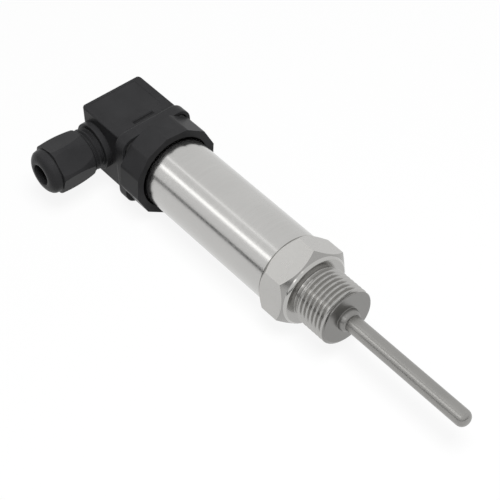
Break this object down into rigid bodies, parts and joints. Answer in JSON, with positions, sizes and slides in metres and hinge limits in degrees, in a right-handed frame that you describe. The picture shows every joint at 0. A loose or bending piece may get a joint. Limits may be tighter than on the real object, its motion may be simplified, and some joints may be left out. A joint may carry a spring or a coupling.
{
  "type": "temperature sensor",
  "caption": "Compact stainless temperature sensor with a thin probe, hexagonal process connection, tubular body and black right-angle plug with cable gland.",
  "frame": {"origin": "centre of the flat seating face behind the male pipe thread", "axes": "+X along the sensor axis towards the probe tip, -Y along the cable gland towards the cable's exit, +Z out of the large face of the plug"},
  "size_m": [0.1831, 0.0538, 0.0338],
  "materials": {
    "stainless_turned": "satin turned",
    "stainless_satin": "satin",
    "stainless_probe": "drawn satin",
    "ceramic": "matt",
    "nickel_wire": "drawn",
    "board_green": "glossy",
    "component_black": "matt",
    "white_plastic": "satin",
    "wire_insulation": "satin",
    "black_plastic": "fine satin",
    "black_rubber": "matt",
    "tinned_brass": "bright tin",
    "plain_brass": "turned",
    "zinc_steel": "bright zinc"
  },
  "bodies": {
    "sensor_body": {"process_connection": "stainless_turned", "body_tube": "stainless_satin", "probe_sheath": "stainless_probe", "sensing_element": "ceramic", "lead_insulator": "ceramic", "element_leads": "nickel_wire", "circuit_board": "board_green", "board_components": "component_black", "board_carrier": "white_plastic", "pin_wires": "wire_insulation", "connector_base": "black_plastic", "base_o_ring": "black_rubber", "signal_pins": "tinned_brass", "earth_pin": "tinned_brass", "threaded_insert": "plain_brass", "plug_gasket": "black_rubber"},
    "plug": {"plug_housing": "black_plastic", "terminal_block": "black_plastic", "socket_contacts": "tinned_brass", "clamp_screws": "zinc_steel", "gland_seal": "black_rubber"},
    "screw_seal_body": {"screw_seal": "black_rubber"},
    "screw_body": {"fixing_screw": "zinc_steel"},
    "ring_body": {"thrust_ring": "white_plastic"},
    "nut_body": {"gland_nut": "black_plastic"}
  },
  "joints": [
    {"name": "plug_pull", "type": "slide", "parent": "sensor_body", "child": "plug", "axis": [-1, 0, 0], "range_m": [0, 0.014]},
    {"name": "fixing_screw_travel", "type": "slide", "parent": "plug", "child": "screw_seal_body", "axis": [-1, 0, 0], "range_m": [0, 0.0065]},
    {"name": "fixing_screw_turn", "type": "hinge", "parent": "screw_seal_body", "child": "screw_body", "pos_m": [-0.1, 0, 0], "axis": [-1, 0, 0], "range_deg": [0, 4680]},
    {"name": "gland_travel", "type": "slide", "parent": "plug", "child": "ring_body", "axis": [0, -1, 0], "range_m": [-0.0015, 0.0045]},
    {"name": "gland_nut_turn", "type": "hinge", "parent": "ring_body", "child": "nut_body", "pos_m": [-0.103, -0.028, 0.0005], "axis": [0, -1, 0], "range_deg": [-360, 1080]}
  ],
  "couplings": [
    {"joint": "fixing_screw_turn", "follows": "fixing_screw_travel", "rad_per_m": 12566},
    {"joint": "gland_nut_turn", "follows": "gland_travel", "rad_per_m": 4188.8}
  ]
}
